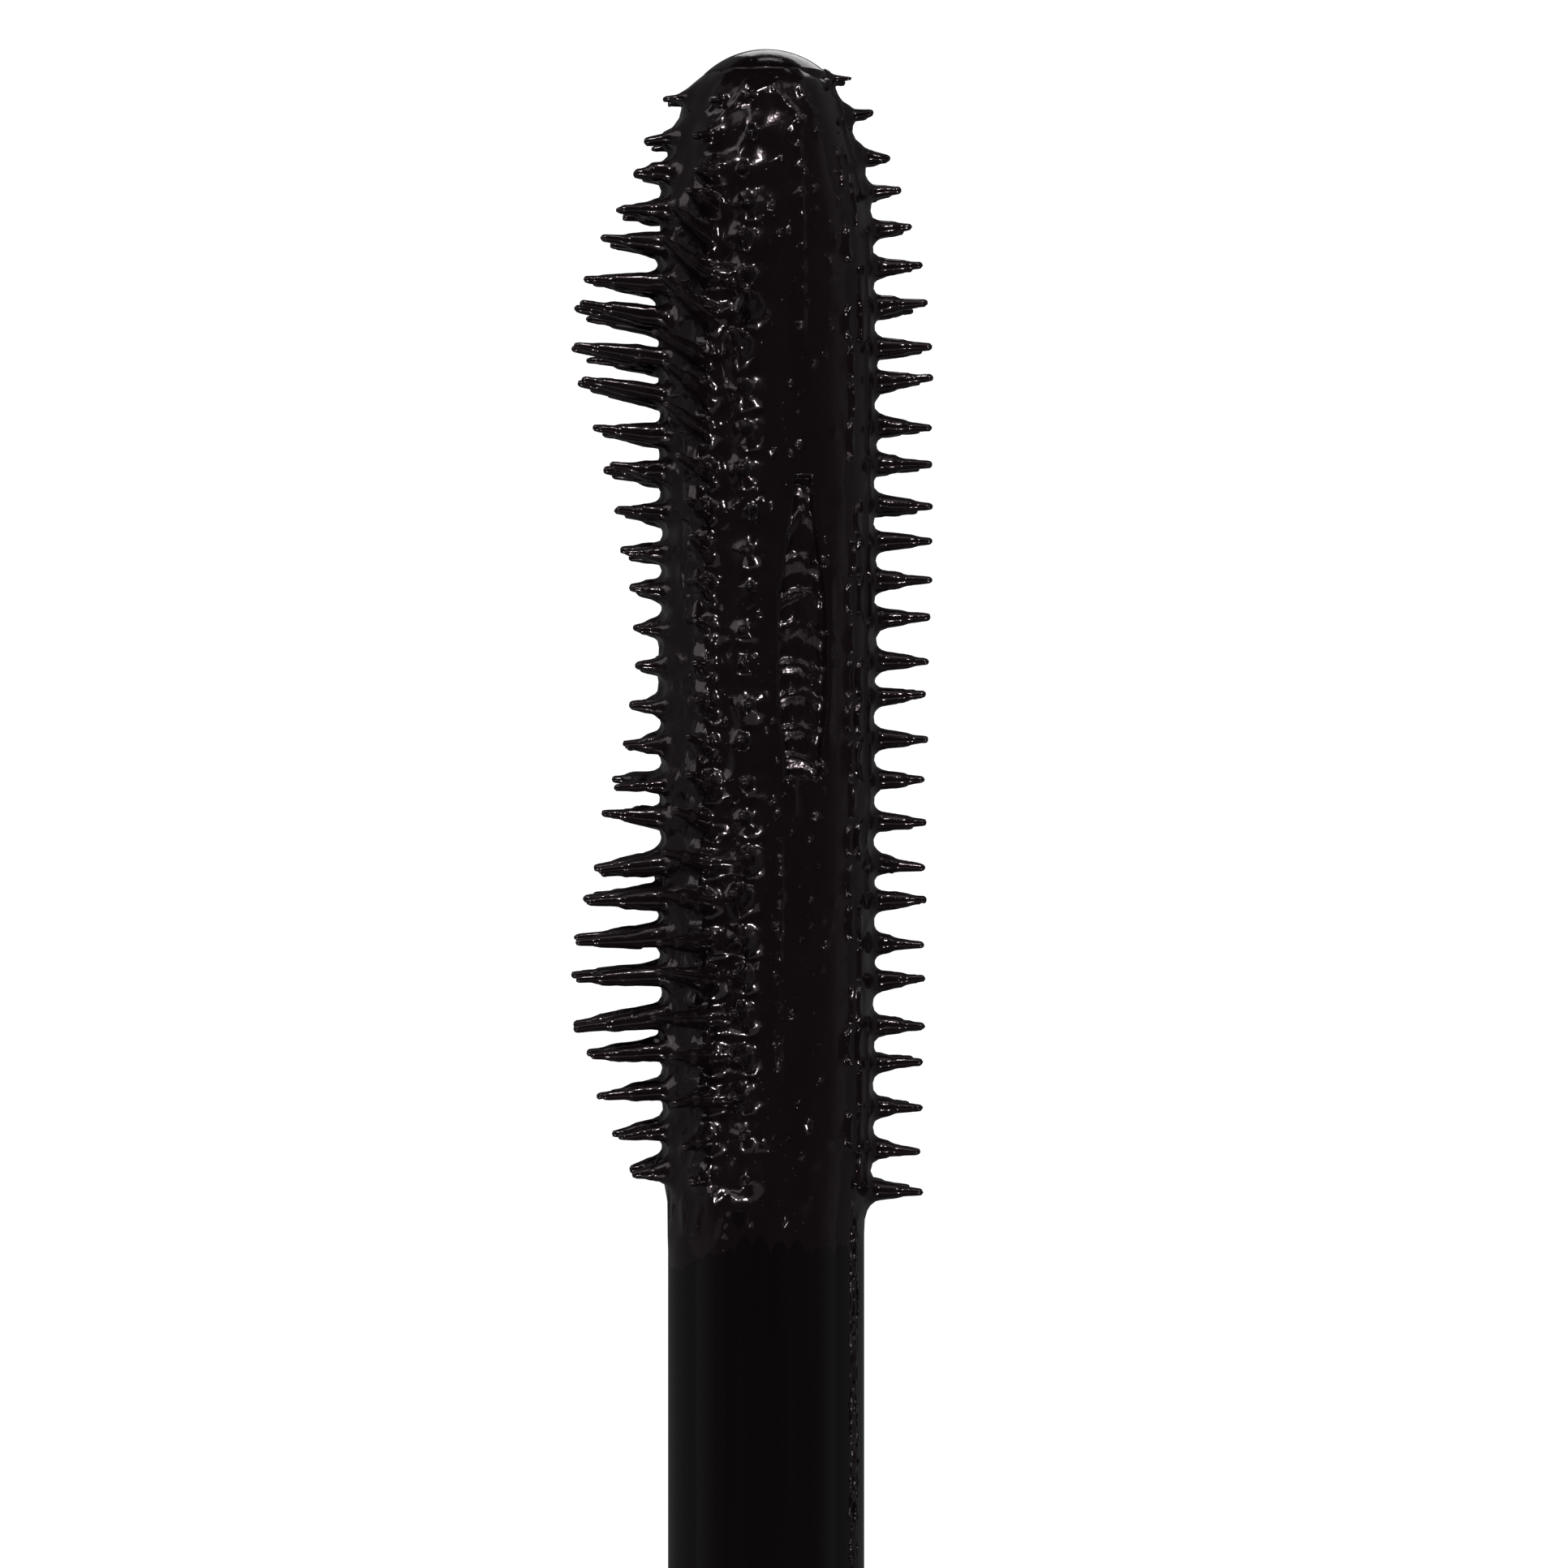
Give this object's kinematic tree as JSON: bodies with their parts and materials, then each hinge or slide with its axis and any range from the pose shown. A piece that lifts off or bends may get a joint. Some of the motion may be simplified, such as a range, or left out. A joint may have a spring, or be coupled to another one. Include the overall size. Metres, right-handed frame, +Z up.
{
  "type": "mascara tube",
  "caption": "Mascara lying open on its side: a screw cap with stem and moulded bristle brush, and the round tube it screws into, drawn off in line.",
  "frame": {"origin": "on the surface the mascara lies on, under the middle of its open length", "axes": "+X along the common axis, from the cap's closed end to the tube's base, so the brush points to +X; +Z up; the comb side of the brush faces -Y"},
  "size_m": [0.177, 0.0166, 0.0165],
  "materials": {
    "gloss_black": "gloss black moulded plastic",
    "gunmetal": "polished dark anodised aluminium",
    "weight_steel": "turned steel",
    "inner_plastic": "black polypropylene",
    "stem_plastic": "satin black polypropylene with fine lengthwise streaks",
    "bristle_elastomer": "black elastomer loaded with wet mascara",
    "soft_rubber": "matte black soft rubber",
    "bottle_plastic": "smoke-tinted gloss plastic",
    "mascara": "wet black mascara"
  },
  "bodies": {
    "wand": {"overcap": "gloss_black", "cap_end_disc": "gunmetal", "cap_band": "gunmetal", "cap_weight": "weight_steel", "inner_cap": "inner_plastic", "stem": "stem_plastic", "brush_core": "stem_plastic", "bristle_sleeve": "bristle_elastomer"},
    "gasket": {"gasket_ring": "soft_rubber"},
    "formula": {"formula_fill": "mascara"},
    "tube": {"inner_bottle": "bottle_plastic", "wiper": "soft_rubber", "shoulder_ring": "gunmetal", "outer_sleeve": "gloss_black", "base_plug": "inner_plastic", "base_disc": "gunmetal"}
  },
  "joints": [
    {"name": "unscrew", "type": "hinge", "parent": "wand", "child": "gasket", "pos_m": [0, 0, 0.00827], "axis": [1, 0, 0], "range_deg": [-450, 0]},
    {"name": "withdraw", "type": "slide", "parent": "gasket", "child": "formula", "axis": [1, 0, 0], "range_m": [-0.06325, 0], "deforming": ["bristle_sleeve", "wiper"]},
    {"name": "thread_lead", "type": "slide", "parent": "formula", "child": "tube", "axis": [1, 0, 0], "range_m": [-0.00375, 0]}
  ],
  "couplings": [
    {"joint": "thread_lead", "follows": "unscrew", "m_per_rad": 0.00047746}
  ]
}
